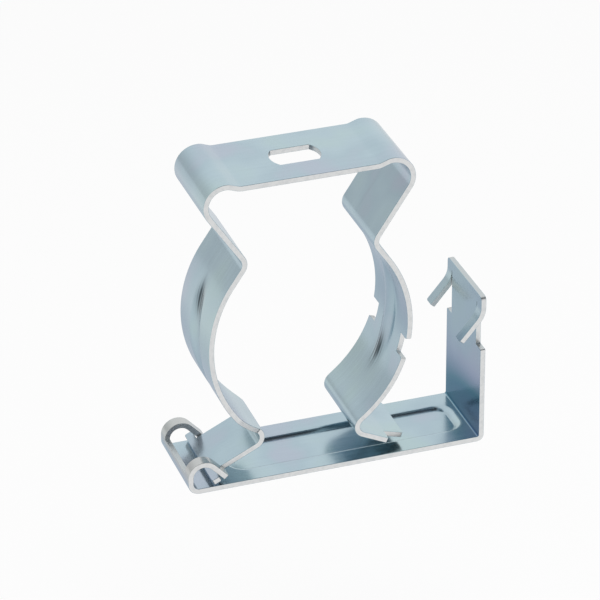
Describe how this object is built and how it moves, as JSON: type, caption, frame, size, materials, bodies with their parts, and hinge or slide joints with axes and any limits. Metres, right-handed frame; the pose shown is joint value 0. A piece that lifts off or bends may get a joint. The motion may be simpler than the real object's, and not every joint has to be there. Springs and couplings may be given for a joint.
{
  "type": "tube clip",
  "caption": "Folded spring-steel clip that grips a tube between sprung arms under a slotted base plate, with a hinged locking bar whose barbs reach for latch notches.",
  "frame": {"origin": "middle of the fixing slot, on the top face of the base plate", "axes": "+Z out of the base plate towards the surface it is fixed to, X along the folded strip with the latch arm on +X, Y across the strip and along the tube"},
  "size_m": [0.0674, 0.02, 0.0734],
  "materials": {
    "zinc_plated_steel": "bright zinc plating with a pale blue passivation"
  },
  "bodies": {
    "clip": {"spring_clip": "zinc_plated_steel"},
    "bar": {"locking_bar": "zinc_plated_steel"}
  },
  "joints": [
    {"name": "bar_hinge", "type": "hinge", "parent": "clip", "child": "bar", "pos_m": [-0.02151, 0, -0.06932], "axis": [0, 1, 0], "range_deg": [0, 125]}
  ]
}
